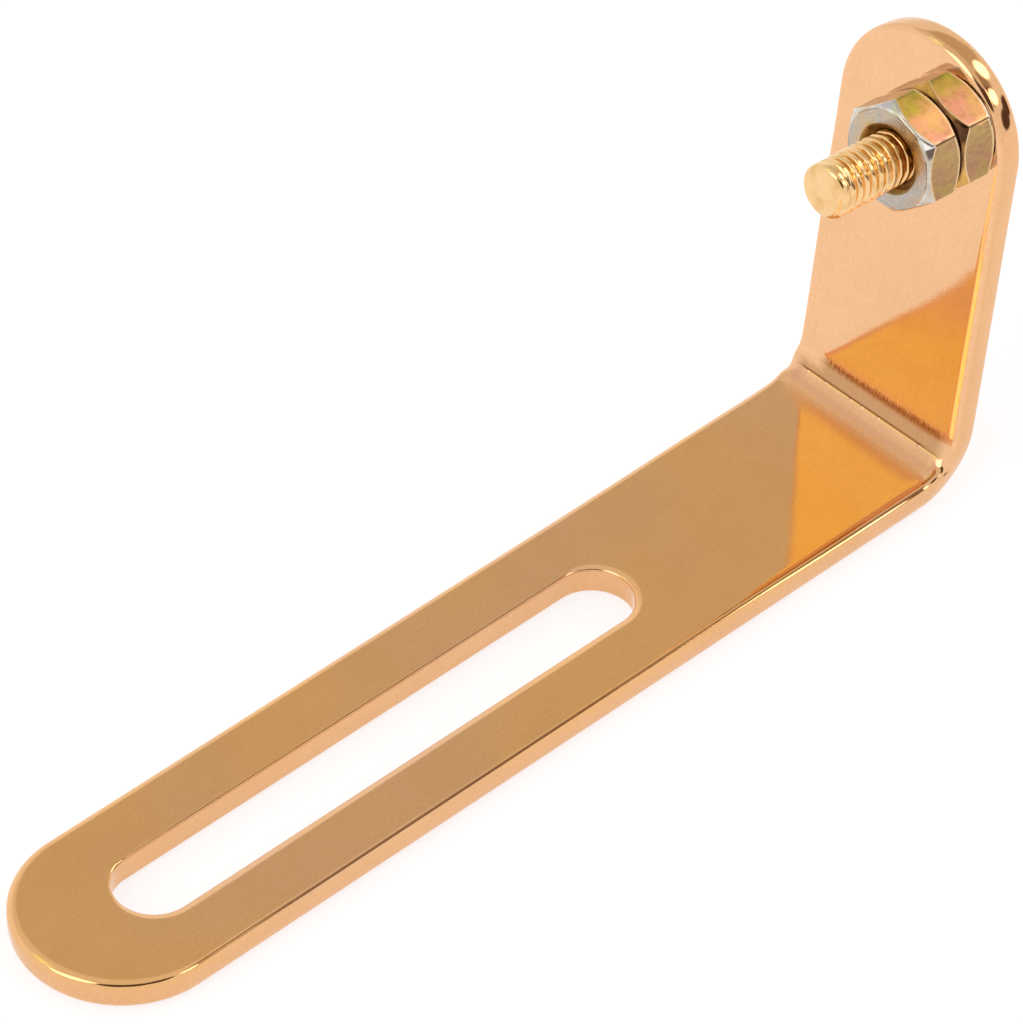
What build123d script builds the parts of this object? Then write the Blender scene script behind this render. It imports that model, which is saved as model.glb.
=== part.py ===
from build123d import *
import math
import os

# Slotted angle bracket with a threaded stud and two hex nuts, in millimetres. The long arm lies
# on the XY plane along X, with its slot. At +X the strip bends up into the upright, which leans
# a little outwards. The stud stands out of the upright's front face, over the arm. The origin
# is the centre of the bounding box, at the underside.

# Strip: one width and one thickness throughout
plate_width = 11.2
plate_thickness = 1.75
arm_length = 59.0
upright_length = 25.6
bend_opening = 5.0
bend_inner_radius = 2.05
front_edge_radius = 0.55
back_edge_radius = 0.6

# Slot in the long arm
slot_width = 4.2
slot_centres = 29.5
slot_from_free_end = 7.6
slot_edge_radius = 0.4

# Stud, an M3 thread, and the place where it stands on the upright
stud_height = 21.7
stud_sideways = -2.25
stud_reach = 9.65
thread_radius = 1.46
thread_pitch = 0.5
thread_depth = 0.29
thread_crest = 0.08
tip_chamfer = 0.3
shank_radius = 1.5
rivet_radius = 1.95
rivet_depth = 0.5

# Hex nuts, one size, one behind the other
nut_across_flats = 5.5
nut_height = 2.45
nut_bore_radius = thread_radius + 0.04
nut_countersink_radius = 1.85
nut_face_radius = 2.66
nut_chamfer_angle = 42.0
nut_gap = 0.04
inner_nut_turn = -50.0
outer_nut_turn = -51.0

# How far cutting shapes reach past the surfaces that they cut, and how close two depths match
end_cut_margin = 0.5
groove_margin = 0.1
depth_tolerance = 0.01

# Worked out from the sizes above
lean = math.radians(bend_opening)
up_direction = Vector(math.sin(lean), 0, math.cos(lean))
back_normal = Vector(math.cos(lean), 0, -math.sin(lean))
side_direction = Vector(0, 1, 0)
bend_outer_radius = bend_inner_radius + plate_thickness
overall_length = (
    arm_length
    + (upright_length - back_edge_radius) * math.sin(lean)
    + back_edge_radius * (1 - math.cos(lean))
)
free_end_x = -overall_length / 2
corner_x = free_end_x + arm_length
corner = Vector(corner_x, 0, 0)
bend_centre_x = corner_x - bend_outer_radius * (1 - math.sin(lean)) / math.cos(lean)
bend_centre = Vector(bend_centre_x, 0, bend_outer_radius)

back_plane = Plane(origin=corner, x_dir=side_direction, z_dir=back_normal)
stud_foot = (
    corner
    + up_direction * stud_height
    + side_direction * stud_sideways
    - back_normal * plate_thickness
)
stud_plane = Plane(origin=stud_foot, x_dir=up_direction, z_dir=-back_normal)


def section_plane(height):
    """Plane through the stud's axis: local x is the radius and local y runs along the stud."""
    start = stud_foot - back_normal * height
    return Plane(origin=start, x_dir=up_direction, z_dir=-side_direction)


def strip_depth(point):
    """How deep a point lies in the strip, from 0 on the back to the thickness in front."""
    if point.X < bend_centre_x:
        return point.Z
    local = back_plane.to_local_coords(point)
    if local.Y > bend_outer_radius:
        return -local.Z
    across = Vector(point.X - bend_centre.X, 0, point.Z - bend_centre.Z)
    return bend_outer_radius - across.length


def rim_edges(edges, depth):
    """Edges at one depth in the strip, without the lines where the bend starts and ends."""
    along = edges.filter_by(Axis.Y, reverse=True)
    return along.filter_by(lambda edge: abs(strip_depth(edge @ 0.5) - depth) < depth_tolerance)


# Corners of the strip's side view, back face first
top_back = corner + up_direction * upright_length
top_front = top_back - back_normal * plate_thickness
bend_back_end = bend_centre + back_normal * bend_outer_radius
bend_front_end = bend_centre + back_normal * bend_inner_radius
bend_sweep = 90 - bend_opening

with BuildPart() as bracket_plate:
    with BuildSketch(Plane.XZ):
        with BuildLine():
            Line((free_end_x, 0), (bend_centre.X, 0))
            CenterArc((bend_centre.X, bend_centre.Z), bend_outer_radius, -90, bend_sweep)
            Line((bend_back_end.X, bend_back_end.Z), (top_back.X, top_back.Z))
            Line((top_back.X, top_back.Z), (top_front.X, top_front.Z))
            Line((top_front.X, top_front.Z), (bend_front_end.X, bend_front_end.Z))
            CenterArc((bend_centre.X, bend_centre.Z), bend_inner_radius, -90, bend_sweep)
            Line((bend_centre.X, plate_thickness), (free_end_x, plate_thickness))
            Line((free_end_x, plate_thickness), (free_end_x, 0))
        make_face()
    extrude(amount=plate_width / 2, both=True)

    # Both ends are full half circles as wide as the strip
    end_radius = plate_width / 2
    cutter_half = end_radius + end_cut_margin
    free_centre = Vector(free_end_x + end_radius, 0, 0)
    top_centre = Vector(0, upright_length - end_radius, 0)
    free_end = (Plane.XY, free_centre, Vector(-1, 0, 0))
    top_end = (back_plane, top_centre, Vector(0, 1, 0))
    for plane, centre, outward in (free_end, top_end):
        with BuildSketch(plane):
            with Locations(centre + outward * end_radius):
                Rectangle(2 * cutter_half, 2 * cutter_half)
            with Locations(centre):
                Circle(end_radius, mode=Mode.SUBTRACT)
            with Locations(centre - outward * end_radius):
                Rectangle(2 * end_radius, 2 * end_radius, mode=Mode.SUBTRACT)
        extrude(amount=plate_thickness * 2, both=True, mode=Mode.SUBTRACT)
    fillet(rim_edges(bracket_plate.edges(), plate_thickness), front_edge_radius)
    fillet(rim_edges(bracket_plate.edges(), 0), back_edge_radius)

    slot_middle_x = free_end_x + slot_from_free_end + slot_centres / 2
    with BuildSketch(Plane.XY):
        with Locations((slot_middle_x, 0)):
            SlotCenterToCenter(slot_centres, slot_width)
    extrude(amount=plate_thickness, mode=Mode.SUBTRACT)
    slot_wall = bracket_plate.faces(Select.LAST)
    slot_rims = slot_wall.edges().filter_by(GeomType.CIRCLE) + slot_wall.edges().filter_by(Axis.X)
    fillet(slot_rims, slot_edge_radius)

    with BuildSketch(section_plane(-plate_thickness)):
        with BuildLine():
            Polyline(
                (0, 0),
                (rivet_radius, 0),
                (shank_radius, rivet_depth),
                (shank_radius, plate_thickness),
                (0, plate_thickness),
                close=True,
            )
        make_face()
    stud_axis = Axis(stud_foot, -back_normal)
    revolve(axis=stud_axis, mode=Mode.SUBTRACT)
bracket_plate.part.label = "bracket_plate"

with BuildPart() as threaded_stud:
    with BuildSketch(section_plane(-plate_thickness)):
        with BuildLine():
            tip = plate_thickness + stud_reach
            Polyline(
                (0, 0),
                (rivet_radius, 0),
                (shank_radius, rivet_depth),
                (shank_radius, plate_thickness),
                (thread_radius, plate_thickness),
                (thread_radius, tip - tip_chamfer),
                (thread_radius - tip_chamfer, tip),
                (0, tip),
                close=True,
            )
        make_face()
    revolve(axis=stud_axis)
    groove_start = stud_foot - back_normal * thread_pitch
    groove_length = stud_reach + thread_pitch / 2
    with BuildLine():
        groove_path = Helix(thread_pitch, groove_length, thread_radius, groove_start, -back_normal)
    radial = (groove_path @ 0 - groove_start).normalized()
    with BuildSketch(Plane(origin=groove_path @ 0, x_dir=radial, z_dir=groove_path % 0)):
        half_mouth = (thread_pitch - thread_crest) / 2
        slope = half_mouth / thread_depth
        with BuildLine():
            Polyline(
                (-thread_depth, 0),
                (groove_margin, half_mouth + groove_margin * slope),
                (groove_margin, -half_mouth - groove_margin * slope),
                close=True,
            )
        make_face()
    sweep(path=groove_path, is_frenet=True, mode=Mode.SUBTRACT)
threaded_stud.part.label = "threaded_stud"


def hex_nut(seat_height, turn):
    """Hex prism with both faces chamfered by a cone, bored for the stud and countersunk."""
    corner_radius = nut_across_flats / math.sqrt(3)
    chamfer_height = (corner_radius - nut_face_radius) * math.tan(math.radians(nut_chamfer_angle))
    sink_height = nut_countersink_radius - nut_bore_radius
    seat = stud_plane.offset(seat_height)
    section = section_plane(seat_height)
    with BuildPart() as nut:
        with BuildSketch(seat):
            RegularPolygon(nut_across_flats / 2, 6, major_radius=False, rotation=turn)
        extrude(amount=nut_height)
        with BuildSketch(section):
            with BuildLine():
                Polyline(
                    (nut_countersink_radius, 0),
                    (nut_face_radius, 0),
                    (corner_radius, chamfer_height),
                    (corner_radius, nut_height - chamfer_height),
                    (nut_face_radius, nut_height),
                    (nut_countersink_radius, nut_height),
                    (nut_bore_radius, nut_height - sink_height),
                    (nut_bore_radius, sink_height),
                    close=True,
                )
            make_face()
        revolve(axis=stud_axis, mode=Mode.INTERSECT)
    return nut.part


with BuildPart() as inner_nut:
    add(hex_nut(nut_gap, inner_nut_turn))
inner_nut.part.label = "inner_nut"

with BuildPart() as outer_nut:
    add(hex_nut(nut_gap + nut_height + nut_gap, outer_nut_turn))
outer_nut.part.label = "outer_nut"

os.makedirs("parts", exist_ok=True)
export_step(bracket_plate.part, "parts/bracket_plate.step")
export_step(threaded_stud.part, "parts/threaded_stud.step")
export_step(inner_nut.part, "parts/inner_nut.step")
export_step(outer_nut.part, "parts/outer_nut.step")
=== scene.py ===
"""Looks for the slotted angle bracket: gilded strip, threaded stud and two zinc-plated nuts."""

import math

import bpy
import numpy as np
from mathutils import Matrix, Vector


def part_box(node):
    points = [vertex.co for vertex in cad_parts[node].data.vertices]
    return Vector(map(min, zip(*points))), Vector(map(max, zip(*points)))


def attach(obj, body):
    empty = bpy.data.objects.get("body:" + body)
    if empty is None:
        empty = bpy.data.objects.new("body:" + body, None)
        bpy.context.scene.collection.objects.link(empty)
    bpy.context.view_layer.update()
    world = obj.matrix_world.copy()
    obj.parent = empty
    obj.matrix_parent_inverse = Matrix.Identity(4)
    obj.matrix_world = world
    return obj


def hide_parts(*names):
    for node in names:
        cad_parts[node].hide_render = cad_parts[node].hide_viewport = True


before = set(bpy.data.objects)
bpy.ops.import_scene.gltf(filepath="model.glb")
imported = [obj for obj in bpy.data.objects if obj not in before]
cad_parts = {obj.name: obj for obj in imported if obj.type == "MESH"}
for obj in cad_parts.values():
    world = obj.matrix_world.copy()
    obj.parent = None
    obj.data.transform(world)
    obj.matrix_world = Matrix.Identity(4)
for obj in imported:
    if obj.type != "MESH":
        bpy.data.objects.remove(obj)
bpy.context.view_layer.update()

MM = 0.001
plate_low, plate_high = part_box("bracket_plate")

# ---------------------------------------------------------------- driving sizes, in millimetres
STRIP_WIDTH = (plate_high.y - plate_low.y) / MM
STRIP_THICK = 1.75
ARM_LENGTH = 59.0
UPRIGHT_LENGTH = 25.6
LEAN = math.radians(5.0)
BEND_INNER_RADIUS = 2.05
SLOT_WIDTH = 4.2
SLOT_CENTRES = 29.5
SLOT_FROM_END = 7.6
# edges: back radius, how far the wall leans at its back and its front in degrees, radius of the
# front corner, radius of the rollover into the face, and the rollover's tilt in degrees
RIM_EDGE = (0.6, (8.0, 5.0), 0.42, 1.8, 10.0)
SLOT_EDGE = (0.35, (2.0, 2.0), 0.18, 2.3, 15.0)
EDGE_STEPS = 12
ARC_STEPS = 176

STUD_HEIGHT = 21.7
STUD_SIDEWAYS = -2.25
STUD_REACH = 9.65
THREAD_RADIUS = 1.46
THREAD_PITCH = 0.5
THREAD_DEPTH = 0.24
CREST_SPREAD = 0.62
KNOCK_DEPTH = 0.012
TIP_ROUND = 0.34
SHANK_RADIUS = 1.5
RIVET_RADIUS = 1.95

NUT_FLATS = 5.5
NUT_HEIGHT = 2.45
NUT_GAP = 0.04
NUT_SINK_RADIUS = 1.87
NUT_CORNER_ROUND = 0.12
CORNER_SOFTNESS = 0.02
NUT_EDGE = 0.07
NUT_FACE_RADIUS = 2.66
NUT_CHAMFER = math.radians(42.0)
INNER_TURN = math.radians(-50.0)
OUTER_TURN = math.radians(-51.0)

# ---------------------------------------------------------------- places worked out from them
FREE_X = plate_low.x / MM
UP = np.array([math.sin(LEAN), 0.0, math.cos(LEAN)])
BACK = np.array([math.cos(LEAN), 0.0, -math.sin(LEAN)])
SIDE = np.array([0.0, 1.0, 0.0])
BEND_OUTER_RADIUS = BEND_INNER_RADIUS + STRIP_THICK
BEND_TANGENT = BEND_OUTER_RADIUS * (1 - math.sin(LEAN)) / math.cos(LEAN)
BEND_ANGLE = math.pi / 2 - LEAN
BEND_START = ARM_LENGTH - BEND_TANGENT
BEND_RUN = (BEND_INNER_RADIUS + STRIP_THICK / 2) * BEND_ANGLE
STRIP_RUN = BEND_START + BEND_RUN + UPRIGHT_LENGTH - BEND_TANGENT
CORNER = np.array([FREE_X + ARM_LENGTH, 0.0, 0.0])
STUD_FOOT = CORNER + UP * STUD_HEIGHT + SIDE * STUD_SIDEWAYS - BACK * STRIP_THICK


def smooth(x):
    """Smooth step from 0 to 1 as x goes from 0 to 1."""
    x = np.clip(x, 0.0, 1.0)
    return x * x * (3 - 2 * x)


def bump(x, width):
    """Bell of height 1 at x = 0."""
    return np.exp(-((x / width) ** 2))


# ---------------------------------------------------------------- strip: flat layout, then bent
CREASE_RUN = BEND_START + BEND_RUN * 49 / 85
CREASE_WIDTH = 0.045
CREASE_DEPTH = 0.03
# the bend squeezes the metal out sideways inside and draws it in outside, and lifts the sides
SPREAD_INSIDE = 0.16
SPREAD_OUTSIDE = 0.10
LIFT_INSIDE = 0.10
LIFT_OUTSIDE = 0.05
SQUEEZE_DEPTH = 0.17
RIPPLE_HEIGHT = 0.0035
CREASE_SPAN = (-4.1, 4.9)
SQUEEZE_SIDE = 4.25
# pips just before the crease: their radius, how far before it, and each one's place across the
# strip and height
PIP_RADIUS = 0.075
PIP_OFFSET = 0.11
PIPS = ((4.25, 0.03), (3.05, 0.035), (1.25, 0.04), (0.45, 0.02), (-0.7, 0.025), (-3.55, 0.04))
# near the bend the face falls away towards one side: slope, where it starts, how wide the change
CROWN_SLOPE = 0.024
CROWN_SIDE = 4.4
CROWN_CHANGE = 3.6
CROWN_RUNS = (41.0, 75.0)


def worked(points):
    """Small marks of the bending tool, added in the flat layout (run, across, depth)."""
    run, across, depth = points.T.copy()
    inner = depth / STRIP_THICK
    near_bend = bump(run - (BEND_START + BEND_RUN * 0.45), BEND_RUN * 0.42)
    at_side = smooth((np.abs(across) - 0.55 * STRIP_WIDTH / 2) / (0.45 * STRIP_WIDTH / 2))
    spread = near_bend * (SPREAD_INSIDE * inner - SPREAD_OUTSIDE * (1 - inner))
    on_front = smooth((inner - 0.7) / 0.25)
    past_side = np.clip(np.abs(across + 0.15) - SQUEEZE_SIDE, 0, None) ** 2
    squeezed = bump(run - (CREASE_RUN - 0.55), 0.55) * past_side * on_front
    window = smooth((across - CREASE_SPAN[0]) / 0.5) * smooth((CREASE_SPAN[1] - across) / 0.5)
    groove = CREASE_DEPTH * bump(run - CREASE_RUN, CREASE_WIDTH) * window * on_front
    lift = near_bend * at_side * (LIFT_INSIDE * inner - LIFT_OUTSIDE * (1 - inner))
    moved = depth + lift - SQUEEZE_DEPTH * squeezed - groove
    for place, height in PIPS:
        away = (run - CREASE_RUN + PIP_OFFSET) ** 2 + (across - place) ** 2
        moved = moved + height * on_front * np.exp(-away / PIP_RADIUS**2)
    crowned = smooth((run - CROWN_RUNS[0]) / 9.0) * smooth((CROWN_RUNS[1] - run) / 6.0)
    past = (CROWN_SIDE - across) / CROWN_CHANGE
    eased = np.clip(past, 0, 1)
    fall = eased**3 - eased**4 / 2 + np.clip(past - 1, 0, None)
    crown = CROWN_SLOPE * CROWN_CHANGE * crowned * (fall - 1.0)
    ripple = RIPPLE_HEIGHT * np.sin(run * 0.9 + 1.3) * np.sin(across * 0.8 + run * 0.23)
    across = across + np.sign(across) * spread * at_side
    return np.column_stack([run, across, moved + (ripple - crown) * on_front])


def bent(points):
    """Takes the flat layout (run, across, depth from the back) to its place in space."""
    run, across, depth = worked(points).T
    turn = np.clip((run - BEND_START) / BEND_RUN, 0, 1) * BEND_ANGLE
    flat_run = np.minimum(run, BEND_START)
    up_run = np.maximum(run - BEND_START - BEND_RUN, 0)
    radius = BEND_OUTER_RADIUS - depth
    x = FREE_X + flat_run + radius * np.sin(turn) + up_run * math.sin(LEAN) * (turn > 0)
    z = BEND_OUTER_RADIUS - radius * np.cos(turn) + up_run * math.cos(LEAN) * (turn > 0)
    return np.column_stack([x, across, z])


def carried_normals(points, normals):
    """Normals of the flat layout, carried through the bending by its local stretch."""
    step = 0.002
    columns = []
    for axis in np.eye(3):
        columns.append((bent(points + axis * step) - bent(points - axis * step)) / (2 * step))
    stretch = np.stack(columns, axis=2)
    carried = np.linalg.solve(np.transpose(stretch, (0, 2, 1)), normals[..., None])[..., 0]
    return carried / np.linalg.norm(carried, axis=1, keepdims=True)


def edge_rings(back_radius, wall_leans, corner, roll, tilt):
    """Rings from the back rim to the front: (inset, depth, outward and depth shares of the normal).

    Four arcs in a row: the round back edge, the slightly crowned wall, a small corner and the
    slow rollover into the front face. The wall's radius makes up the rest of the thickness.
    """
    turns = [math.radians(t) for t in (180, 90 + wall_leans[0], 90 - wall_leans[1], tilt, 0)]
    rises = [math.cos(b) - math.cos(a) for a, b in zip(turns, turns[1:])]
    others = back_radius * rises[0] + corner * rises[2] + roll * rises[3]
    radii = (back_radius, (STRIP_THICK - others) / rises[1], corner, roll)
    rings = [(0.0, 0.0, 0.0, -1.0)]
    for a, b, radius in zip(turns, turns[1:], radii):
        start_out, start_depth = rings[-1][:2]
        for i in range(1, EDGE_STEPS + 1):
            turn = a + (b - a) * i / EDGE_STEPS
            out = start_out + radius * (math.sin(turn) - math.sin(a))
            depth = start_depth + radius * (math.cos(turn) - math.cos(a))
            rings.append((out, depth, math.sin(turn), math.cos(turn)))
    widest = max(out for out, _, _, _ in rings)
    return [(widest - out, depth, outward, deep) for out, depth, outward, deep in rings]


def make_object(name, vertices, faces, normals=None, uv=None):
    """Smooth-shaded mesh from points in millimetres, with a UV layer for each named pair."""
    mesh = bpy.data.meshes.new(name)
    mesh.from_pydata([tuple(v * MM) for v in vertices], [], faces)
    mesh.update()
    mesh.polygons.foreach_set("use_smooth", [True] * len(mesh.polygons))
    corner = np.zeros(len(mesh.loops), np.int32)
    mesh.loops.foreach_get("vertex_index", corner)
    for layer_name, values in (uv or {}).items():
        layer = mesh.uv_layers.new(name=layer_name)
        layer.data.foreach_set("uv", values[corner].astype(np.float32).ravel())
    if normals is not None:
        mesh.normals_split_custom_set_from_vertices([tuple(n) for n in normals])
    obj = bpy.data.objects.new(name, mesh)
    bpy.context.scene.collection.objects.link(obj)
    return obj


def outline(runs, low_centre, high_centre):
    """Closed outline with round ends: (centre run, centre across, normal run, normal across)."""
    turns = math.pi * np.arange(1, ARC_STEPS) / ARC_STEPS
    rows = [(run, 0.0, 0.0, 1.0) for run in runs[::-1]]
    rows += [(low_centre, 0.0, math.cos(a), math.sin(a)) for a in math.pi / 2 + turns]
    rows += [(run, 0.0, 0.0, -1.0) for run in runs]
    rows += [(high_centre, 0.0, math.cos(a), math.sin(a)) for a in turns - math.pi / 2]
    return np.array(rows)


def strip_layout():
    """Flat layout of the whole strip as vertices, normals and faces."""
    half = STRIP_WIDTH / 2
    slot_end = SLOT_FROM_END + SLOT_CENTRES
    cross_run = slot_end + 7.0
    top_centre = STRIP_RUN - half
    bend_end = BEND_START + BEND_RUN
    # straight stretches of the outer side, as positions along the run
    beside_slot = np.linspace(half, slot_end, 25)
    slot_runs = np.linspace(SLOT_FROM_END, slot_end, 25)
    past_slot = np.linspace(slot_end, cross_run, 9)[1:]
    to_bend = np.linspace(cross_run, BEND_START - 0.4, 12)[1:]
    pip_rows = np.linspace(CREASE_RUN - 0.28, CREASE_RUN - 3 * CREASE_WIDTH, 9)
    low_bend = np.linspace(to_bend[-1], pip_rows[0], 26)[1:-1]
    crease_rows = CREASE_RUN + CREASE_WIDTH * np.linspace(-2.7, 3, 17)
    high_bend = np.linspace(crease_rows[-1], bend_end + 0.6, 30)[1:]
    upper_rows = np.linspace(high_bend[-1], top_centre, 16)[1:]
    past_cross = np.concatenate([to_bend, low_bend, pip_rows, crease_rows, high_bend, upper_rows])
    side_runs = np.concatenate([beside_slot, past_slot, past_cross])

    vertices, normals, faces = [], [], []

    def add(points, directions):
        start = len(vertices)
        vertices.extend(points)
        normals.extend(directions)
        return list(range(start, start + len(points)))

    def wall(rows, radius, sign, rings):
        """Rings of vertices round an outline; sign is 1 outside and -1 for the slot."""
        made = []
        for inset, depth, outward, deep in rings:
            r = radius - sign * inset
            points = np.column_stack([
                rows[:, 0] + rows[:, 2] * r,
                rows[:, 1] + rows[:, 3] * r,
                np.full(len(rows), depth),
            ])
            directions = np.column_stack([
                sign * rows[:, 2] * outward,
                sign * rows[:, 3] * outward,
                np.full(len(rows), deep),
            ])
            made.append(add(points, directions))
        for low, high in zip(made, made[1:]):
            n = len(low)
            for i in range(n):
                j = (i + 1) % n
                quad = (low[i], low[j], high[j], high[i])
                faces.append(quad if sign > 0 else quad[::-1])
        return made

    outer_rows = outline(side_runs, half, top_centre)
    slot_rows = outline(slot_runs, SLOT_FROM_END, slot_end)
    rim, lip = edge_rings(*RIM_EDGE), edge_rings(*SLOT_EDGE)
    outer = wall(outer_rows, half, 1, rim)
    slot = wall(slot_rows, SLOT_WIDTH / 2, -1, lip)

    n_side, n_slot = len(side_runs), len(slot_runs)
    first_cross = n_slot + len(past_slot) - 1

    def cap(outer_ring, slot_ring, depth, deep):
        """Flat face between the outer ring and the slot ring, then rows up to the top end."""
        flip = deep < 0
        normal = (0.0, 0.0, deep)

        def face(*loop):
            faces.append(loop[::-1] if flip else loop)

        # around the free end: the two rings run side by side
        left_of = [outer_ring[n_side - 1 - k] for k in range(n_slot)]
        slot_left = [slot_ring[n_slot - 1 - k] for k in range(n_slot)]
        arc_outer = [outer_ring[n_side - 1 + k] for k in range(ARC_STEPS + 1)]
        arc_slot = [slot_ring[n_slot - 1 + k] for k in range(ARC_STEPS + 1)]
        right_of = [outer_ring[n_side + ARC_STEPS - 1 + k] for k in range(n_slot)]
        slot_right = [slot_ring[n_slot + ARC_STEPS - 1 + k] for k in range(n_slot)]
        for a, b in ((arc_outer, arc_slot), (right_of, slot_right)):
            for k in range(len(a) - 1):
                face(a[k], a[k + 1], b[k + 1], b[k])
        for k in range(n_slot - 1):
            face(left_of[k + 1], left_of[k], slot_left[k], slot_left[k + 1])
        # far end of the slot: its arc joins the sides and the first cross row
        reach = half - rim[0 if flip else -1][0]
        far_arc = [slot_ring[n_slot - 1 + ARC_STEPS + n_slot - 1 + k] for k in range(ARC_STEPS)]
        far_arc.append(slot_ring[0])
        n_past = len(past_slot)
        n_row = ARC_STEPS + 1 - 2 * n_past
        ys = np.linspace(-reach, reach, n_row)

        def cross_row(run, left, right):
            inner = add([(run, y, depth) for y in ys[1:-1]], [normal] * (n_row - 2))
            return [right] + inner + [left]

        def left_vertex(index):
            return outer_ring[n_side - 1 - index]

        def right_vertex(index):
            return outer_ring[n_side + ARC_STEPS - 1 + index]

        row = cross_row(cross_run, left_vertex(first_cross), right_vertex(first_cross))
        around = [right_vertex(n_slot - 1 + k) for k in range(n_past)]
        around += row
        around += [left_vertex(n_slot - 1 + n_past - 1 - k) for k in range(n_past)]
        for k in range(ARC_STEPS):
            face(far_arc[k], around[k], around[k + 1], far_arc[k + 1])
        # rows over the bend and up the upright
        for index in range(first_cross + 1, n_side):
            upper = cross_row(side_runs[index], left_vertex(index), right_vertex(index))
            for k in range(n_row - 1):
                face(row[k], upper[k], upper[k + 1], row[k + 1])
            row = upper
        # top end: rings shrink from the arc to the last row's middle
        top_arc = [outer_ring[2 * n_side + ARC_STEPS - 2 + k] for k in range(ARC_STEPS)]
        top_arc.append(outer_ring[0])
        edge = top_arc
        for share in (0.85, 0.7, 0.55, 0.4, 0.25, 0.12):
            ring = [edge[0]]
            angles = -math.pi / 2 + math.pi * np.arange(1, ARC_STEPS) / ARC_STEPS
            points = [
                (top_centre + reach * share * math.cos(a), reach * math.sin(a), depth)
                for a in angles
            ]
            ring += add(points, [normal] * len(points))
            ring.append(edge[-1])
            for k in range(ARC_STEPS):
                loop = []
                for vertex in (edge[k], edge[k + 1], ring[k + 1], ring[k]):
                    if vertex not in loop:
                        loop.append(vertex)
                face(*loop)
            edge = ring
        # the last thin lens closes on the row below it, from the strip's middle outwards
        loop = list(edge) + row[1:-1][::-1]
        face(*loop)

    cap(outer[-1], slot[-1], STRIP_THICK, 1.0)
    cap(outer[0], slot[0], 0.0, -1.0)
    return np.array(vertices, float), np.array(normals, float), faces


def build_strip():
    """Whole strip, with its place in the flat layout kept as UVs for the material."""
    flat, flat_normals, faces = strip_layout()
    placed = bent(flat)
    normals = carried_normals(flat, flat_normals)
    uv = {"strip": flat[:, :2] / 10.0, "depth": flat[:, [2, 1]] / 10.0}
    return make_object("gilded_strip", placed, faces, normals, uv)


# ---------------------------------------------------------------- round pieces about the stud
def from_stud(radius, angle, height):
    """Place of a point given by its radius, turn from up towards +Y, and height on the stud."""
    radius, angle, height = np.broadcast_arrays(radius, angle, height)
    radial = np.cos(angle)[..., None] * UP + np.sin(angle)[..., None] * SIDE
    return STUD_FOOT + radius[..., None] * radial - height[..., None] * BACK


def lathe(name, radii, heights, angles):
    """Grid of rows (along the profile) by columns (round the axis), closed by a fan at each end."""
    rows, columns = radii.shape
    grid = from_stud(radii, angles[None, :], heights)
    vertices = grid.reshape(-1, 3)
    faces = []
    for r in range(rows - 1):
        for c in range(columns):
            d = (c + 1) % columns
            a, b = r * columns + c, r * columns + d
            faces.append((a, b, b + columns, a + columns))
    low_hub, high_hub = len(vertices), len(vertices) + 1
    last_row = (rows - 1) * columns
    for c in range(columns):
        d = (c + 1) % columns
        faces.append((low_hub, d, c))
        faces.append((high_hub, last_row + c, last_row + d))
    vertices = np.vstack([vertices, grid[0].mean(axis=0), grid[-1].mean(axis=0)])
    return make_object(name, vertices, faces)


def thread_share(height, angle):
    """0 at the root and 1 at the crest of a right-handed thread with a broad round crest."""
    phase = (height / THREAD_PITCH + angle / (2 * math.pi)) % 1.0
    away = np.abs(phase - 0.5) * 2
    return smooth((1 - away) / CREST_SPREAD)


def build_stud():
    """Stud with its thread, a rounded tip, and the riveted end in the upright's back."""
    columns = 160
    angles = np.linspace(0, 2 * math.pi, columns, endpoint=False)
    # radius and height above the strip's back
    profile = [
        (0.25, -0.05),
        (RIVET_RADIUS - 0.45, -0.05),
        (RIVET_RADIUS - 0.12, -0.035),
        (RIVET_RADIUS, 0.02),
        (RIVET_RADIUS - 0.05, 0.15),
        (SHANK_RADIUS, 0.5),
        (SHANK_RADIUS, STRIP_THICK - 0.1),
        (THREAD_RADIUS, STRIP_THICK - 0.02),
    ]
    rows = [(radius, height - STRIP_THICK, False) for radius, height in profile]
    for height in np.arange(0.0, STUD_REACH - 0.12, THREAD_PITCH / 22):
        rows.append((THREAD_RADIUS, height, True))
    radii, heights = [], []
    for radius, height, threaded in rows:
        ring = np.full(columns, radius)
        if threaded:
            fade = smooth((STUD_REACH - 0.25 - height) / 0.8)
            share = thread_share(height, angles)
            ring = radius - THREAD_DEPTH * fade * (1 - share)
            near_tip = max(0.0, height - (STUD_REACH - TIP_ROUND))
            ring = ring - (TIP_ROUND - math.sqrt(max(TIP_ROUND**2 - near_tip**2, 0)))
            knocks = np.sin(5 * angles + 3.1 * height) * np.sin(9 * height - 2 * angles)
            knocks = knocks + 0.7 * np.sin(11 * angles - 7.3 * height + 1.0) * np.sin(4.4 * height)
            ring = ring - KNOCK_DEPTH * (1.0 + knocks) * (0.5 + fade)
        radii.append(ring)
        heights.append(np.full(columns, height))
    last = radii[-1]
    for inset, height in ((0.1, 0.055), (0.22, 0.02), (0.4, 0.0), (0.8, 0.0), (1.1, 0.0)):
        radii.append(np.full(columns, last.mean() - inset) if inset > 0.2 else last - inset)
        heights.append(np.full(columns, STUD_REACH - height))
    return lathe("gilded_stud", np.array(radii), np.array(heights), angles)


def hex_radius(angle, turn):
    """Outline of the hexagon with slightly rounded corners."""
    from_flat = (angle - turn) % (math.pi / 3) - math.pi / 6
    apothem = NUT_FLATS / 2
    sharp = apothem / np.cos(from_flat)
    corner = apothem / math.cos(math.pi / 6)
    limit = corner - NUT_CORNER_ROUND * (1 / math.cos(math.pi / 6) - 1)
    return -CORNER_SOFTNESS * np.logaddexp(-sharp / CORNER_SOFTNESS, -limit / CORNER_SOFTNESS)


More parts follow.
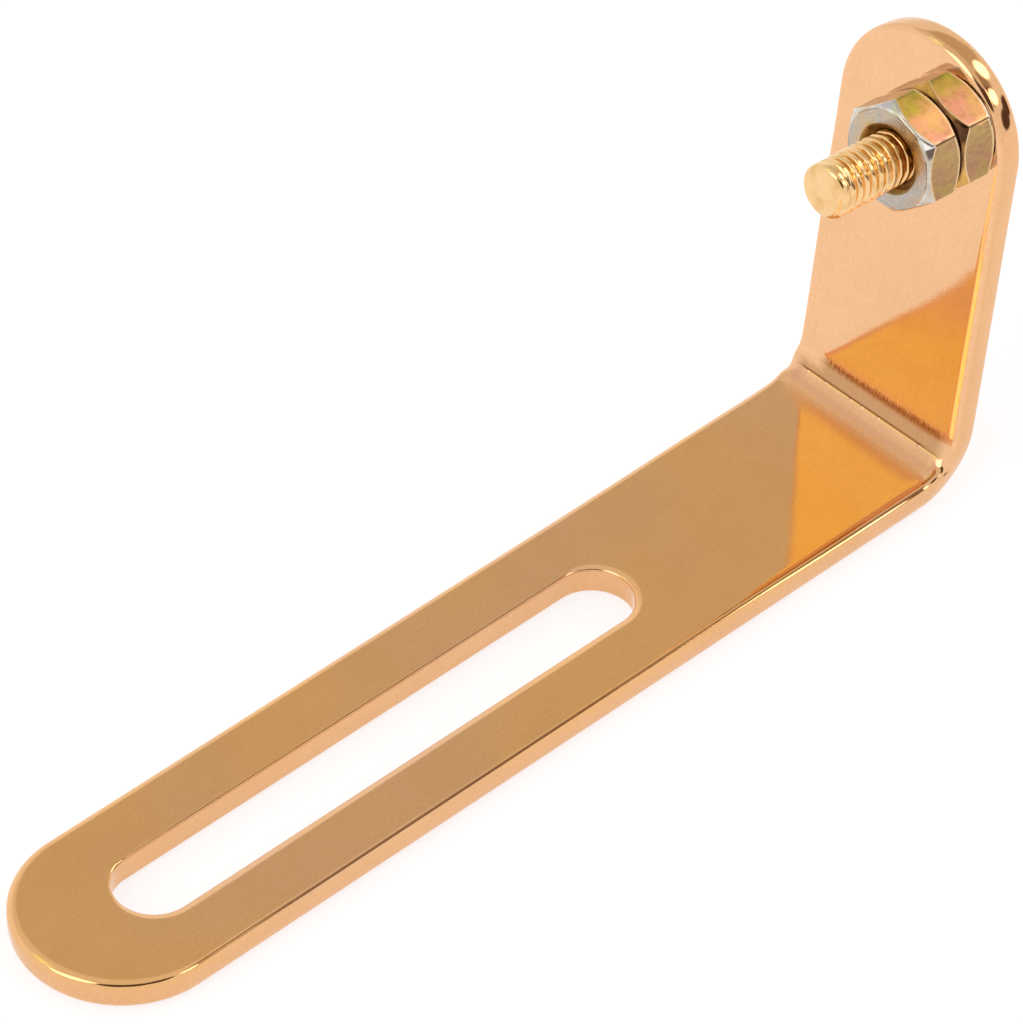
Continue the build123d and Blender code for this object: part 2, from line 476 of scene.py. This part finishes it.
FACE_ZONE, RIM_ZONE, FLAT_ZONE, BORE_ZONE, GROOVE_ZONE = range(5)


def build_nut(name, seat, turn, rubbed):
    """Hexagonal nut as a closed grid, with a material for each zone of rows."""
    near_corner = np.array([0.012, 0.028, 0.05])
    middle = np.linspace(0.08, 0.92, 34)
    side = np.concatenate([[0.0], near_corner, middle, 1 - near_corner[::-1]])
    angles = np.concatenate([turn + math.pi / 3 * (k + side) for k in range(6)])
    outline = hex_radius(angles, turn)
    columns = len(angles)
    rows = []

    def row(radius, height, zone):
        radius = np.broadcast_to(radius, (columns,))
        rows.append((radius, np.broadcast_to(height, (columns,)), zone))

    edge = NUT_EDGE
    slope = math.tan(NUT_CHAMFER)
    drop = np.maximum(outline - NUT_FACE_RADIUS, 0.0) * slope
    half = [
        (NUT_SINK_RADIUS + 0.05, 0.0, FACE_ZONE),
        (NUT_SINK_RADIUS + 0.3, 0.0, FACE_ZONE),
        (NUT_FACE_RADIUS - 0.12, 0.0, FACE_ZONE),
        (NUT_FACE_RADIUS - edge, 0.004, FACE_ZONE),
        (NUT_FACE_RADIUS + 0.4 * edge, 0.4 * edge * slope + 0.006, RIM_ZONE),
    ]
    for share in (0.2, 0.45, 0.7):
        radius = NUT_FACE_RADIUS + (outline - edge - NUT_FACE_RADIUS) * share
        half.append((radius, np.maximum((radius - NUT_FACE_RADIUS) * slope, 0.01), RIM_ZONE))
    half.append((outline - edge, np.maximum(drop - edge * slope, 0.012), RIM_ZONE))
    half.append((outline - edge * 0.3, drop + edge * 0.12, RIM_ZONE))
    half.append((outline, drop + edge, FLAT_ZONE))
    seat_zone = GROOVE_ZONE if rubbed else RIM_ZONE
    for radius, height, zone in half:
        row(radius, height, zone if zone == FLAT_ZONE else seat_zone)
    for share in np.linspace(0.08, 0.92, 9):
        row(outline, (drop + edge) + (NUT_HEIGHT - 2 * (drop + edge)) * share, FLAT_ZONE)
    front_zones = [BORE_ZONE] + [zone if rubbed else GROOVE_ZONE for _, _, zone in half[:-1]]
    for (radius, height, _), zone in zip(half[::-1], front_zones[::-1]):
        row(radius, NUT_HEIGHT - height, zone)
    row(NUT_SINK_RADIUS, NUT_HEIGHT - 0.03, BORE_ZONE)
    for height in np.arange(NUT_HEIGHT - 0.06, 0.03, -THREAD_PITCH / 18):
        wall = THREAD_RADIUS + 0.03 - THREAD_DEPTH * (1 - thread_share(seat + height, angles))
        cone = NUT_SINK_RADIUS - min(height, NUT_HEIGHT - height)
        row(np.maximum(wall, cone), height, BORE_ZONE)
    row(NUT_SINK_RADIUS, 0.03, BORE_ZONE)

    radii = np.array([r for r, _, _ in rows])
    levels = np.array([h for _, h, _ in rows])
    grid = from_stud(radii, angles[None, :], levels + seat).reshape(-1, 3)
    to_end = np.minimum(levels, NUT_HEIGHT - levels) - drop - edge
    off_middle = np.abs(np.tan((angles - turn) % (math.pi / 3) - math.pi / 6))
    to_corner = np.broadcast_to(NUT_FLATS / 2 * (math.tan(math.pi / 6) - off_middle), radii.shape)
    edge_light_uv = np.column_stack([to_end.ravel(), to_corner.ravel()]) / NUT_FLATS
    share_round = np.broadcast_to((angles - turn) / (2 * math.pi), radii.shape)
    round_uv = np.column_stack([share_round.ravel(), (radii / NUT_FLATS).ravel()])
    faces, zones = [], []
    for r, (_, _, zone) in enumerate(rows):
        s = (r + 1) % len(rows)
        for c in range(columns):
            d = (c + 1) % columns
            faces.append((r * columns + c, r * columns + d, s * columns + d, s * columns + c))
            zones.append(zone)
    nut = make_object(name, grid, faces, uv={"round": round_uv, "edge_light": edge_light_uv})
    # the last face of each row ends at a whole turn, not at zero
    layer = nut.data.uv_layers["round"].data
    for index in range(columns - 1, len(faces), columns):
        for corner in nut.data.polygons[index].loop_indices:
            if nut.data.loops[corner].vertex_index % columns == 0:
                layer[corner].uv.x += 1.0
    for material in ZINC:
        nut.data.materials.append(material)
    nut.data.polygons.foreach_set("material_index", zones)
    return nut


def weigh_normals(obj):
    """Keeps the flats flat: shared normals follow the larger faces."""
    modifier = obj.modifiers.new("weighted", "WEIGHTED_NORMAL")
    modifier.mode = "FACE_AREA_WITH_ANGLE"
    modifier.weight = 80
    modifier.keep_sharp = False


# ---------------------------------------------------------------- materials
class Nodes:
    """Short way to write a material's node tree."""

    def __init__(self, name, metallic=1.0):
        self.material = bpy.data.materials.new(name)
        self.material.use_nodes = True
        self.tree = self.material.node_tree
        self.shader = self.tree.nodes["Principled BSDF"]
        self.shader.inputs["Metallic"].default_value = metallic

    def node(self, kind, inputs=None, **settings):
        made = self.tree.nodes.new(kind)
        for key, value in settings.items():
            setattr(made, key, value)
        for key, value in (inputs or {}).items():
            self.put(value, made.inputs[key])
        return made

    def put(self, value, socket):
        if isinstance(value, bpy.types.NodeSocket):
            self.tree.links.new(value, socket)
        elif isinstance(value, bpy.types.Node):
            self.tree.links.new(value.outputs[0], socket)
        else:
            socket.default_value = value

    def ramp(self, factor, stops):
        made = self.node("ShaderNodeValToRGB", {"Fac": factor})
        elements = made.color_ramp.elements
        while len(elements) < len(stops):
            elements.new(0.5)
        for element, (position, colour, *alpha) in zip(elements, stops):
            element.position = position
            element.color = (*colour, *(alpha or [1.0]))
        return made

    def math(self, operation, *values):
        made = self.node("ShaderNodeMath", operation=operation)
        for socket, value in zip(made.inputs, values):
            self.put(value, socket)
        return made

    def noise(self, place, scale, detail):
        inputs = {"Vector": place, "Scale": scale, "Detail": detail}
        return self.node("ShaderNodeTexNoise", inputs).outputs["Fac"]

    def map_range(self, value, low, high, to_low, to_high):
        inputs = {"Value": value, "From Min": low, "From Max": high}
        return self.node("ShaderNodeMapRange", inputs | {"To Min": to_low, "To Max": to_high})

    def bump(self, height, strength, distance, under=None):
        inputs = {"Height": height, "Strength": strength, "Distance": distance}
        if under is not None:
            inputs["Normal"] = under
        return self.node("ShaderNodeBump", inputs)

    def multiply(self, a, b):
        made = self.node("ShaderNodeMix", data_type="RGBA", blend_type="MULTIPLY")
        made.inputs[0].default_value = 1.0
        self.put(a, made.inputs[6])
        self.put(b, made.inputs[7])
        return made.outputs[2]

    def mix(self, factor, a, b):
        made = self.node("ShaderNodeMix", data_type="RGBA")
        self.put(factor, made.inputs[0])
        self.put(a, made.inputs[6])
        self.put(b, made.inputs[7])
        return made.outputs[2]


# Painted shade of the stretched metal over the inside of the bend, with a painted dark line at the
# crease: run in millimetres, colour factor
BEND_PAINTED_SHADE = [
    (55.0, (1.0, 1.0, 1.0)),
    (56.4, (1.0, 1.0, 1.0)),
    (56.95, (0.88, 0.80, 0.98)),
    (57.80, (0.82, 0.74, 0.98)),
    (57.90, (0.98, 0.94, 0.90)),
    (57.96, (0.42, 0.34, 0.28)),
    (58.06, (0.56, 0.50, 0.44)),
    (58.25, (0.66, 0.62, 0.56)),
    (58.75, (0.70, 0.66, 0.60)),
    (59.05, (0.68, 0.60, 0.50)),
    (59.38, (0.62, 0.50, 0.36)),
    (59.55, (0.66, 0.58, 0.48)),
    (59.80, (1.0, 1.0, 1.0)),
]
BEND_ROUGHNESS = [
    (54.6, 0.0),
    (55.4, 0.28),
    (56.0, 0.40),
    (56.8, 0.28),
    (57.6, 0.24),
    (57.85, 0.10),
    (58.1, 0.20),
    (59.1, 0.18),
    (59.5, 0.0),
]
FRINGE_SPAN = (-4.4, 3.3)


def gilded_material():
    """Bright plate over a buffed strip: hairlines along the strip, and rougher metal with painted
    shade and a painted dark crease line in the bend.
    """
    n = Nodes("gilded_plate")
    uv = n.node("ShaderNodeUVMap", uv_map="strip")
    depth = n.node("ShaderNodeSeparateXYZ", {"Vector": n.node("ShaderNodeUVMap", uv_map="depth")})
    flat = n.node("ShaderNodeSeparateXYZ", {"Vector": uv})
    place = n.node("ShaderNodeTexCoord").outputs["Object"]

    def stretched(scale, detail):
        moved = n.node("ShaderNodeMapping", {"Vector": uv, "Scale": scale})
        inputs = {"Vector": moved, "Scale": 1.0, "Detail": detail, "Roughness": 0.6}
        return n.node("ShaderNodeTexNoise", inputs).outputs["Fac"]

    hair = stretched((7.0, 330.0, 1.0), 3.0)
    long_hair = stretched((1.6, 170.0, 1.0), 2.0)
    fringe = stretched((14.0, 120.0, 1.0), 3.0)
    wave = n.noise(place, 110.0, 1.0)
    cloud = n.noise(place, 380.0, 4.0)
    specks = n.noise(place, 5200.0, 2.0)

    # where along the strip, in millimetres, with a ragged rim at the top of the painted bend shade
    run = n.math("MULTIPLY", flat.outputs[0], 10.0)
    ragged = n.math("MULTIPLY", n.math("SUBTRACT", fringe, 0.5), 1.5)
    at_rim = n.map_range(run, 58.9, 59.3, 0.0, 1.0)
    shifted = n.math("ADD", run, n.math("MULTIPLY", ragged, at_rim))
    # painted shade over the inside of the bend, from the table above
    first, last = BEND_PAINTED_SHADE[0][0], BEND_PAINTED_SHADE[-1][0]
    stops = [((r - first) / (last - first), tint) for r, tint in BEND_PAINTED_SHADE]
    painted_bend_shade = n.ramp(n.map_range(shifted, first, last, 0.0, 1.0), stops)
    front = n.map_range(depth.outputs[0], 0.125, 0.16, 0.0, 1.0)
    # above the crease the painted shade runs out towards both sides of the strip
    across = n.math("MULTIPLY", flat.outputs[1], 10.0)
    low_side = n.map_range(across, FRINGE_SPAN[0] - 0.7, FRINGE_SPAN[0], 0.0, 1.0)
    high_side = n.map_range(across, FRINGE_SPAN[1] + 0.7, FRINGE_SPAN[1], 0.0, 1.0)
    between = n.math("MULTIPLY", low_side, high_side)
    inside = n.map_range(n.math("ABSOLUTE", across), 4.5, 5.1, 1.0, 0.0)
    upper = n.map_range(run, 58.3, 58.8, 0.0, 1.0)
    kept = n.math("MINIMUM", inside, n.math("MAXIMUM", between, n.math("SUBTRACT", 1.0, upper)))
    shown = n.math("MULTIPLY", front, kept)
    # ragged painted dark streaks along the top rim of the painted bend shade
    painted_fringe_streaks = n.ramp(fringe, [(0.42, (0.55, 0.42, 0.30)), (0.56, (1.0, 1.0, 1.0))]).outputs[0]
    past_start = n.map_range(run, 58.95, 59.25, 0.0, 1.0)
    before_end = n.map_range(run, 59.45, 59.65, 1.0, 0.0)
    at_fringe = n.math("MULTIPLY", past_start, before_end)
    fringe_streak_mask = n.math("MULTIPLY", at_fringe, n.math("MULTIPLY", between, front))
    painted_bend_colour = n.multiply(painted_bend_shade.outputs[0], n.mix(fringe_streak_mask, (1, 1, 1, 1), painted_fringe_streaks))
    painted_bend_on_front = n.mix(shown, (1, 1, 1, 1), painted_bend_colour)

    metal = n.ramp(cloud, [(0.3, (0.855, 0.503, 0.270)), (0.7, (0.885, 0.530, 0.296))]).outputs[0]
    streak = n.ramp(long_hair, [(0.30, (0.975, 0.97, 0.96)), (0.62, (1.0, 1.0, 1.0))]).outputs[0]
    above_back = n.map_range(depth.outputs[0], 0.002, 0.03, 0.0, 1.0)
    below_front = n.map_range(depth.outputs[0], 0.145, 0.165, 1.0, 0.0)
    wall = n.math("MULTIPLY", above_back, below_front)
    edges = n.mix(wall, (1, 1, 1, 1), (0.93, 0.89, 0.80, 1))
    patches = n.noise(place, 85.0, 2.0)
    tone = n.ramp(patches, [(0.40, (0.97, 0.99, 1.05)), (0.60, (1.02, 1.0, 0.85))]).outputs[0]
    on_arm = n.math("MULTIPLY", n.map_range(run, 49.0, 54.0, 1.0, 0.0), front)
    toned = n.mix(on_arm, (1, 1, 1, 1), tone)
    grain = n.ramp(specks, [(0.32, (0.97, 0.965, 0.95)), (0.68, (1.03, 1.03, 1.03))]).outputs[0]
    buffed = n.multiply(n.multiply(metal, streak), n.multiply(toned, grain))
    shade = n.multiply(n.multiply(buffed, painted_bend_on_front), edges)
    n.put(shade, n.shader.inputs["Base Color"])
    first, last = BEND_ROUGHNESS[0][0], BEND_ROUGHNESS[-1][0]
    stops = [((r - first) / (last - first), (level,) * 3) for r, level in BEND_ROUGHNESS]
    in_bend = n.ramp(n.map_range(run, first, last, 0.0, 1.0), stops)
    haze = n.map_range(cloud, 0.3, 0.7, 0.03, 0.06)
    rough = n.math("MULTIPLY", in_bend, n.math("MULTIPLY", front, inside))
    n.put(n.math("ADD", haze, rough), n.shader.inputs["Roughness"])
    soft = n.bump(wave, 0.10, 0.0004)
    brushed = n.bump(hair, 0.022, 0.00003, soft)
    n.put(n.bump(specks, 0.04, 0.00002, brushed), n.shader.inputs["Normal"])
    return n.material


def stud_material():
    """Plated thread: yellower than the strip, pitted and worn in patches."""
    n = Nodes("gilded_thread")
    place = n.node("ShaderNodeTexCoord").outputs["Object"]
    cloud = n.noise(place, 1100.0, 4.0)
    pits = n.noise(place, 3800.0, 3.0)
    shades = [(0.32, (0.76, 0.47, 0.19)), (0.5, (0.89, 0.58, 0.28)), (0.7, (0.91, 0.61, 0.32))]
    n.put(n.ramp(cloud, shades), n.shader.inputs["Base Color"])
    n.put(n.map_range(pits, 0.3, 0.7, 0.09, 0.22), n.shader.inputs["Roughness"])
    worn = n.bump(cloud, 0.22, 0.00006)
    n.put(n.bump(pits, 0.18, 0.00002, worn), n.shader.inputs["Normal"])
    return n.material


# Passivation film round the nut: share of the way round from the first corner, colour
FILM = [
    (0.0, (0.92, 0.46, 0.31)),
    (0.085, (0.90, 0.47, 0.25)),
    (0.125, (0.60, 0.44, 0.10)),
    (0.165, (0.46, 0.38, 0.07)),
    (0.19, (0.62, 0.40, 0.22)),
    (0.33, (0.55, 0.36, 0.17)),
    (0.50, (0.66, 0.46, 0.16)),
    (0.66, (0.60, 0.38, 0.20)),
    (0.82, (0.46, 0.30, 0.14)),
    (0.86, (0.44, 0.27, 0.12)),
    (1.0, (0.50, 0.33, 0.15)),
]


def film_material():
    """Yellow passivated flats: olive and gold running into pink, mottled, with reddish scuffs, a
    painted highlight along the ends of the flats and a painted dark line at one corner.
    """
    n = Nodes("zinc_flats")
    uv = n.node("ShaderNodeUVMap", uv_map="round")
    split = n.node("ShaderNodeSeparateXYZ", {"Vector": uv})
    place = n.node("ShaderNodeTexCoord").outputs["Object"]
    drift = n.noise(place, 700.0, 3.0)
    mottle = n.noise(place, 2600.0, 2.0)
    scuff_place = n.node("ShaderNodeMapping", {"Vector": place, "Scale": (1.0, 1.0, 3.0)})
    scuff = n.node("ShaderNodeTexNoise", {"Vector": scuff_place, "Scale": 640.0, "Distortion": 2.2})
    moved = n.math("ADD", split.outputs[0], n.math("MULTIPLY", n.math("SUBTRACT", drift, 0.5), 0.07))
    film = n.ramp(n.math("FRACT", moved), FILM).outputs[0]
    blush = n.ramp(drift, [(0.38, (1.03, 0.87, 1.0)), (0.62, (1.0, 1.06, 0.76))]).outputs[0]
    grain = n.ramp(mottle, [(0.3, (0.86, 0.86, 0.84)), (0.68, (1.0, 1.0, 1.0))]).outputs[0]
    off_top = n.map_range(split.outputs[0], 0.15, 0.18, 0.0, 1.0)
    marked = n.math("MULTIPLY", n.map_range(scuff.outputs["Fac"], 0.53, 0.60, 0.0, 0.7), off_top)
    colour = n.mix(marked, n.multiply(n.multiply(film, blush), grain), (0.36, 0.19, 0.11, 1))
    edge_light = n.node("ShaderNodeSeparateXYZ", {"Vector": n.node("ShaderNodeUVMap", uv_map="edge_light")})
    unsteady = n.math("MULTIPLY", n.math("SUBTRACT", mottle, 0.5), 0.02)
    # painted highlight along the ends of the flats
    edge_highlight = n.map_range(n.math("ADD", edge_light.outputs[0], unsteady), 0.006, 0.024, 0.75, 0.0)
    edged = n.mix(edge_highlight, colour, (0.93, 0.70, 0.40, 1))
    # painted dark line along one corner of the nut
    corner_shade_mask = n.map_range(edge_light.outputs[1], 0.006, 0.014, 0.9, 0.0)
    first_corner = n.map_range(n.math("PINGPONG", split.outputs[0], 0.5), 0.05, 0.08, 1.0, 0.0)
    painted_corner_shade = n.math("MULTIPLY", corner_shade_mask, first_corner)
    n.put(n.mix(painted_corner_shade, edged, (0.13, 0.08, 0.05, 1)), n.shader.inputs["Base Color"])
    n.put(n.map_range(mottle, 0.3, 0.7, 0.22, 0.38), n.shader.inputs["Roughness"])
    swell = n.noise(place, 800.0, 0.0)
    n.put(n.bump(swell, 0.3, 0.00008), n.shader.inputs["Normal"])
    return n.material


def rubbed_material():
    """Nut faces rubbed to blue-grey zinc, scratched, with traces of the yellow film."""
    n = Nodes("zinc_faces")
    place = n.node("ShaderNodeTexCoord").outputs["Object"]
    drift = n.noise(place, 620.0, 3.0)
    grain = n.noise(place, 3000.0, 4.0)
    around = n.node("ShaderNodeUVMap", uv_map="round")
    stretched = n.node("ShaderNodeMapping", {"Vector": around, "Scale": (22.0, 210.0, 1.0)})
    scratch = n.noise(stretched, 1.0, 3.0)
    greys = [(0.40, (0.47, 0.43, 0.39)), (0.56, (0.54, 0.44, 0.33)), (0.70, (0.56, 0.42, 0.20))]
    lines = [(0.34, (0.82, 0.80, 0.77)), (0.50, (1.0, 1.0, 1.0)), (0.66, (1.22, 1.22, 1.22))]
    shade = n.multiply(n.ramp(drift, greys).outputs[0], n.ramp(scratch, lines).outputs[0])
    n.put(shade, n.shader.inputs["Base Color"])
    n.put(n.map_range(grain, 0.3, 0.7, 0.20, 0.36), n.shader.inputs["Roughness"])
    scored = n.bump(scratch, 0.35, 0.00004)
    n.put(n.bump(grain, 0.3, 0.00003, scored), n.shader.inputs["Normal"])
    return n.material


# Painted highlights and a painted dark line on the chamfer round the nut: share of the way round,
# colour, how much of it shows
RIM_PAINTED_LIGHT = [
    (0.0, (1.0, 0.99, 0.96), 0.9),
    (0.115, (1.0, 0.99, 0.96), 0.9),
    (0.14, (0.50, 0.46, 0.48), 0.9),
    (0.20, (0.50, 0.46, 0.48), 0.9),
    (0.24, (0.60, 0.55, 0.48), 0.0),
    (0.80, (0.54, 0.46, 0.38), 0.0),
    (0.86, (0.54, 0.46, 0.38), 0.85),
    (0.966, (0.54, 0.46, 0.38), 0.85),
    (0.975, (0.10, 0.07, 0.05), 0.9),
    (0.996, (0.10, 0.07, 0.05), 0.9),
    (1.0, (1.0, 0.99, 0.96), 0.9),
]


def rim_material():
    """Chamfers and corners of the nuts: grey zinc, with painted highlights and a painted dark line
    at set places round the nut.
    """
    n = Nodes("zinc_rims")
    place = n.node("ShaderNodeTexCoord").outputs["Object"]
    drift = n.noise(place, 1200.0, 3.0)
    greys = [(0.35, (0.52, 0.46, 0.36)), (0.5, (0.66, 0.62, 0.55)), (0.68, (0.86, 0.84, 0.79))]
    base = n.ramp(drift, greys)
    around = n.node("ShaderNodeSeparateXYZ", {"Vector": n.node("ShaderNodeUVMap", uv_map="round")})
    # painted highlights and a painted dark line on the outer part of the chamfer, from the table
    # above
    outer = n.map_range(around.outputs[1], 0.498, 0.512, 0.0, 1.0)
    edge_light = n.ramp(around.outputs[0], RIM_PAINTED_LIGHT)
    worn = n.mix(n.math("MULTIPLY", edge_light.outputs[1], outer), base.outputs[0], edge_light.outputs[0])
    n.put(worn, n.shader.inputs["Base Color"])
    n.put(n.map_range(drift, 0.3, 0.7, 0.16, 0.28), n.shader.inputs["Roughness"])
    n.put(n.bump(drift, 0.25, 0.00005), n.shader.inputs["Normal"])
    return n.material


def groove_material():
    """Chamfers and faces that meet between the nuts, with their gold-brown film whole and painted
    dark shade deep in the groove and at the corners.
    """
    n = Nodes("zinc_groove")
    place = n.node("ShaderNodeTexCoord").outputs["Object"]
    split = n.node("ShaderNodeSeparateXYZ", {"Vector": n.node("ShaderNodeUVMap", uv_map="round")})
    drift = n.noise(place, 1300.0, 3.0)
    gold = n.ramp(drift, [(0.35, (0.50, 0.25, 0.06)), (0.65, (0.70, 0.42, 0.12))]).outputs[0]
    groove_shade = n.ramp(drift, [(0.35, (0.09, 0.04, 0.02)), (0.65, (0.20, 0.09, 0.04))]).outputs[0]
    # painted dark shade towards the inside of the groove and at the corners
    deep = n.map_range(split.outputs[1], 0.492, 0.512, 1.0, 0.0)
    at_corner = n.map_range(n.math("PINGPONG", split.outputs[0], 0.5), 0.03, 0.055, 1.0, 0.0)
    away = n.math("MAXIMUM", deep, at_corner)
    n.put(n.mix(away, gold, groove_shade), n.shader.inputs["Base Color"])
    n.put(n.map_range(drift, 0.3, 0.7, 0.18, 0.32), n.shader.inputs["Roughness"])
    n.put(n.bump(drift, 0.25, 0.00005), n.shader.inputs["Normal"])
    return n.material


def bore_material():
    """Olive-brown film left in the countersink and the internal thread."""
    n = Nodes("zinc_bore")
    place = n.node("ShaderNodeTexCoord").outputs["Object"]
    drift = n.noise(place, 1500.0, 3.0)
    base = n.ramp(drift, [(0.35, (0.22, 0.13, 0.04)), (0.65, (0.44, 0.29, 0.10))])
    n.put(base.outputs[0], n.shader.inputs["Base Color"])
    n.put(n.map_range(drift, 0.3, 0.7, 0.26, 0.42), n.shader.inputs["Roughness"])
    n.put(n.bump(drift, 0.3, 0.00005), n.shader.inputs["Normal"])
    return n.material


# ---------------------------------------------------------------- studio
# Soft-rimmed parts of the dome, each laid over those before it: direction, half angles in
# degrees where its rim ends and starts, brightness
DOME_BASE = (1.0, 0.99, 0.97)
DARK = (0.11, 0.07, 0.05)
DUSK = (0.24, 0.17, 0.11)
WINDOW = (2.6, 2.5, 2.25)
DOME = [
    ((0.0, 0.0, 1.0), 62, 48, (0.83, 0.79, 0.70)),
    ((0.55, 0.42, 0.72), 21, 15, (0.65, 0.59, 0.46)),
    ((0.66, 0.16, 0.73), 20, 14, (0.65, 0.59, 0.46)),
    ((-0.63, 0.48, 0.61), 8.5, 6.5, (1.12, 1.30, 0.74)),
    ((-0.40, 0.48, 0.78), 8.5, 6.5, (1.12, 1.30, 0.74)),
    ((-0.68, 0.00, 0.73), 15, 10, WINDOW),
    ((-0.80, 0.15, 0.58), 14, 9, WINDOW),
    ((-0.55, -0.46, 0.69), 16, 12, DARK),
    ((-0.38, -0.62, 0.69), 16, 12, DARK),
    ((-0.10, -0.72, 0.68), 14, 11, DARK),
    ((0.53, -0.48, 0.70), 17, 11, (0.42, 0.34, 0.26)),
    ((0.54, -0.62, 0.58), 12, 8, DUSK),
    ((0.70, -0.70, 0.14), 10, 7, DARK),
    ((0.82, -0.54, 0.20), 9, 6, DARK),
    ((0.33, -0.67, 0.66), 9, 6, WINDOW),
    ((0.75, -0.19, 0.63), 10, 7, (3.4, 3.2, 2.8)),
    ((0.64, -0.59, 0.50), 8, 6, (3.4, 3.2, 2.8)),
    ((0.0, 0.0, -1.0), 90.5, 89.0, (1.0, 1.0, 1.0)),
]


def build_studio():
    """Pale floor that glows a little, and the dome that the bright metal reflects."""
    floor_mesh = bpy.data.meshes.new("studio_floor")
    size = 2.0
    corners = [(-size, -size, 0), (size, -size, 0), (size, size, 0), (-size, size, 0)]
    floor_mesh.from_pydata(corners, [], [(0, 1, 2, 3)])
    floor = bpy.data.objects.new("studio_floor", floor_mesh)
    bpy.context.scene.collection.objects.link(floor)
    floor.location.z = -0.00002
    n = Nodes("floor_paper", metallic=0.0)
    n.shader.inputs["Base Color"].default_value = (0.38, 0.38, 0.39, 1)
    n.shader.inputs["Roughness"].default_value = 1.0
    n.shader.inputs["Specular IOR Level"].default_value = 0.0
    n.shader.inputs["Emission Color"].default_value = (0.97, 0.97, 1.0, 1)
    n.shader.inputs["Emission Strength"].default_value = 0.74
    floor.data.materials.append(n.material)

    world = bpy.data.worlds.new("soft_dome")
    bpy.context.scene.world = world
    world.use_nodes = True
    tree = world.node_tree
    background = tree.nodes["Background"]
    place = tree.nodes.new("ShaderNodeTexCoord")

    def lobe(toward, wide, narrow):
        """1 inside a cone about a direction and 0 outside it, with a soft rim (degrees)."""
        dot = tree.nodes.new("ShaderNodeVectorMath")
        dot.operation = "DOT_PRODUCT"
        tree.links.new(place.outputs["Generated"], dot.inputs[0])
        dot.inputs[1].default_value = Vector(toward).normalized()
        ease = tree.nodes.new("ShaderNodeMapRange")
        ease.interpolation_type = "SMOOTHSTEP"
        tree.links.new(dot.outputs["Value"], ease.inputs["Value"])
        ease.inputs["From Min"].default_value = math.cos(math.radians(wide))
        ease.inputs["From Max"].default_value = math.cos(math.radians(narrow))
        return ease.outputs["Result"]

    base = tree.nodes.new("ShaderNodeRGB")
    base.outputs[0].default_value = (*DOME_BASE, 1)
    light = base.outputs[0]
    for toward, wide, narrow, tint in DOME:
        mix = tree.nodes.new("ShaderNodeMix")
        mix.data_type = "RGBA"
        tree.links.new(lobe(toward, wide, narrow), mix.inputs[0])
        tree.links.new(light, mix.inputs[6])
        mix.inputs[7].default_value = (*tint, 1)
        light = mix.outputs[2]
    tree.links.new(light, background.inputs["Color"])

    bpy.context.scene.view_settings.view_transform = "Standard"


# ---------------------------------------------------------------- camera
# Turns in degrees, lens and sensor in millimetres; lengths as shares of the strip's width, with
# the target measured from the middle of the free end's lower edge
CAMERA_TURNS = (-45.31, 42.47, 2.11)
CAMERA_TARGET = (2.7861, 0.0182, 0.9853)
CAMERA_DISTANCE = 28.1761
CAMERA_LENS = 226.84
SENSOR_WIDTH = 36.0


def build_camera():
    """Camera at the photographed angle, rolled a little about its own axis."""
    azimuth, elevation, roll = (math.radians(turn) for turn in CAMERA_TURNS)
    target = (Vector((FREE_X, 0, 0)) + Vector(CAMERA_TARGET) * STRIP_WIDTH) * MM
    level = Vector((math.sin(azimuth), -math.cos(azimuth), 0))
    back = level * math.cos(elevation) + Vector((0, 0, math.sin(elevation)))
    right = Vector((math.cos(azimuth), math.sin(azimuth), 0))
    up = back.cross(right)
    right_rolled = right * math.cos(roll) + up * math.sin(roll)
    up_rolled = up * math.cos(roll) - right * math.sin(roll)
    data = bpy.data.cameras.new("camera")
    data.sensor_width = SENSOR_WIDTH
    data.lens = CAMERA_LENS
    camera = bpy.data.objects.new("camera", data)
    bpy.context.scene.collection.objects.link(camera)
    turned = Matrix((right_rolled, up_rolled, back)).transposed().to_4x4()
    place = target + back * CAMERA_DISTANCE * STRIP_WIDTH * MM
    camera.matrix_world = Matrix.Translation(place) @ turned
    data.clip_start, data.clip_end = 0.01, 10.0
    bpy.context.scene.camera = camera


build_camera()
build_studio()

gold = gilded_material()
strip = build_strip()
strip.data.materials.append(gold)
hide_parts("bracket_plate")
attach(strip, "bracket")

stud = build_stud()
stud.data.materials.append(stud_material())
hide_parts("threaded_stud")
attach(stud, "bracket")

ZINC = (rubbed_material(), rim_material(), film_material(), bore_material(), groove_material())
for node, seat, turn, rubbed in (
    ("inner_nut", NUT_GAP, INNER_TURN, False),
    ("outer_nut", 2 * NUT_GAP + NUT_HEIGHT, OUTER_TURN, True),
):
    nut = build_nut(node + "_zinc", seat, turn, rubbed)
    weigh_normals(nut)
    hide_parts(node)
    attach(nut, node)
